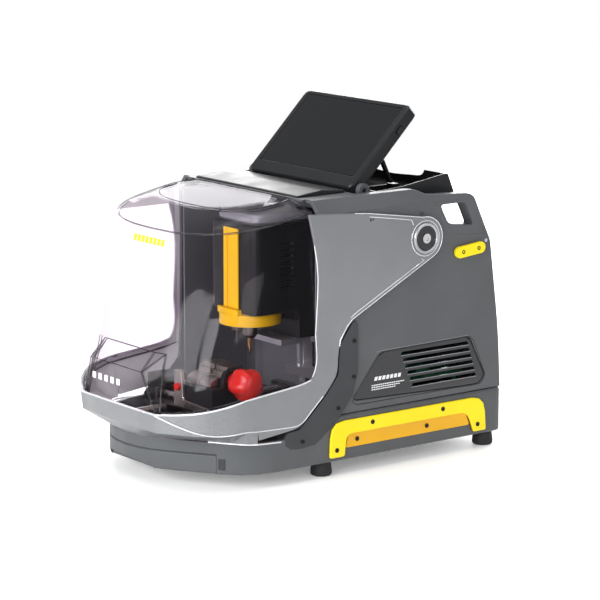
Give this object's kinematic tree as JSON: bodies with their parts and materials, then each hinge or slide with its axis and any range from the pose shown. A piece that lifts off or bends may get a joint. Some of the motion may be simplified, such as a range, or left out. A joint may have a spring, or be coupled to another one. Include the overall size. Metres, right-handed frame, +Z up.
{
  "type": "key duplicating machine",
  "caption": "Bench key duplicating machine: sealed cutting cell under a lifting clear hood, moving clamp and cutting head, fold-down tablet and chip drawer.",
  "frame": {"origin": "on the surface the feet stand on, in the middle of the bounding box seen from above", "axes": "+Z up, +X to the machine's right side, -Y towards the person who uses it (the hood's front)"},
  "size_m": [0.306, 0.478, 0.4288],
  "materials": {
    "body_plastic": "satin dark grey, fine texture",
    "hood_paint": "metallic grey paint",
    "black_plastic": "fine texture",
    "gloss_black": "gloss",
    "screen": "polished, dark display",
    "clear_plastic": "polished clear polycarbonate with a grey tint",
    "yellow_paint": "satin",
    "amber_plastic": "satin",
    "red_plastic": "satin",
    "rubber": "matt",
    "machined_steel": "ground",
    "alloy": "bead blasted",
    "motor_black": "satin",
    "board": "solder mask"
  },
  "bodies": {
    "base": {"base_pan": "body_plastic", "foot_front_left": "rubber", "foot_front_right": "rubber", "foot_rear_left": "rubber", "foot_rear_right": "rubber", "body_side_left": "body_plastic", "body_side_right": "body_plastic", "rear_cover": "body_plastic", "power_inlet": "black_plastic", "power_supply": "alloy", "control_board": "board", "top_deck": "body_plastic", "console_panel": "black_plastic", "accessory_tray": "black_plastic", "chamber_liner": "body_plastic", "vent_grille_left": "gloss_black", "vent_grille_right": "gloss_black", "lift_handle_left": "yellow_paint", "lift_handle_right": "yellow_paint", "trim_strip_left": "yellow_paint", "trim_strip_right": "yellow_paint", "pivot_cap_left": "black_plastic", "pivot_cap_right": "black_plastic", "z_column": "alloy", "z_drive": "motor_black", "bed_plate": "alloy", "y_rail_left": "machined_steel", "y_rail_right": "machined_steel", "y_drive": "motor_black"},
    "drawer": {"chip_drawer": "body_plastic"},
    "rocker": {"power_switch": "red_plastic"},
    "fan": {"fan_rotor": "black_plastic"},
    "hood": {"hood_frame": "hood_paint", "visor": "clear_plastic"},
    "tablet": {"tablet_case": "black_plastic", "tablet_screen": "screen"},
    "tablet_key": {"tablet_button": "black_plastic"},
    "strut": {"tablet_strut": "black_plastic"},
    "head": {"head_casting": "alloy", "head_cover": "black_plastic", "head_cap": "alloy", "head_stripe": "amber_plastic", "light_ring": "amber_plastic", "probe_holder": "machined_steel", "spindle_motor": "motor_black", "drive_belt": "rubber"},
    "cutter_spindle": {"spindle": "machined_steel", "cutter": "machined_steel"},
    "pulley": {"motor_pulley": "alloy"},
    "feeler": {"probe": "machined_steel"},
    "cross_slide": {"y_carriage": "alloy", "x_rail_front": "machined_steel", "x_rail_rear": "machined_steel", "x_drive": "motor_black"},
    "clamp": {"clamp_slide": "black_plastic", "clamp_plate": "machined_steel", "fixed_jaw": "machined_steel"},
    "jaw": {"moving_jaw": "machined_steel"},
    "knob": {"clamp_knob": "red_plastic"},
    "clamp_key": {"clamp_button": "red_plastic"}
  },
  "joints": [
    {"name": "hood_hinge", "type": "hinge", "parent": "base", "child": "hood", "pos_m": [0, 0.11, 0.274], "axis": [-1, 0, 0], "range_deg": [0, 75]},
    {"name": "tablet_tilt", "type": "hinge", "parent": "base", "child": "tablet", "pos_m": [0, 0.046, 0.333], "axis": [1, 0, 0], "range_deg": [-38, 0]},
    {"name": "strut_fold", "type": "hinge", "parent": "tablet", "child": "strut", "pos_m": [0.0505, 0.10893, 0.3832], "axis": [1, 0, 0], "range_deg": [-68, 0]},
    {"name": "tablet_button_press", "type": "slide", "parent": "tablet", "child": "tablet_key", "axis": [-1, 0, 0], "range_m": [0, 0.0008], "stiffness_N_per_m": 800},
    {"name": "drawer_slide", "type": "slide", "parent": "base", "child": "drawer", "axis": [0, -1, 0], "range_m": [0, 0.11]},
    {"name": "power_switch_rock", "type": "hinge", "parent": "base", "child": "rocker", "pos_m": [-0.04, 0.232, 0.101], "axis": [1, 0, 0], "range_deg": [-7, 7]},
    {"name": "fan_spin", "type": "hinge", "parent": "base", "child": "fan", "pos_m": [0.06, 0.214, 0.15], "axis": [0, 1, 0], "continuous": true},
    {"name": "head_lift", "type": "slide", "parent": "base", "child": "head", "axis": [0, 0, 1], "range_m": [-0.009, 0.01]},
    {"name": "spindle_spin", "type": "hinge", "parent": "head", "child": "cutter_spindle", "pos_m": [0.013, -0.052, 0.2], "axis": [0, 0, 1], "continuous": true},
    {"name": "pulley_spin", "type": "hinge", "parent": "head", "child": "pulley", "pos_m": [0, -0.002, 0.273], "axis": [0, 0, 1], "continuous": true},
    {"name": "feeler_press", "type": "slide", "parent": "head", "child": "feeler", "axis": [0, 0, 1], "range_m": [0, 0.003], "stiffness_N_per_m": 200},
    {"name": "bed_travel", "type": "slide", "parent": "base", "child": "cross_slide", "axis": [0, 1, 0], "range_m": [-0.04, 0.04]},
    {"name": "clamp_travel", "type": "slide", "parent": "cross_slide", "child": "clamp", "axis": [1, 0, 0], "range_m": [-0.022, 0.022]},
    {"name": "knob_turn", "type": "hinge", "parent": "clamp", "child": "knob", "pos_m": [0.05, -0.09, 0.104], "axis": [1, 0, 0], "range_deg": [0, 360]},
    {"name": "jaw_close", "type": "slide", "parent": "clamp", "child": "jaw", "axis": [-1, 0, 0], "range_m": [0, 0.0015]},
    {"name": "clamp_button_press", "type": "slide", "parent": "clamp", "child": "clamp_key", "axis": [0, 1, 0], "range_m": [0, 0.0012], "stiffness_N_per_m": 600}
  ],
  "couplings": [
    {"joint": "strut_fold", "follows": "tablet_tilt", "ratio": 1.747},
    {"joint": "pulley_spin", "follows": "spindle_spin", "ratio": 0.85714},
    {"joint": "knob_turn", "follows": "jaw_close", "rad_per_m": 4188.8}
  ]
}
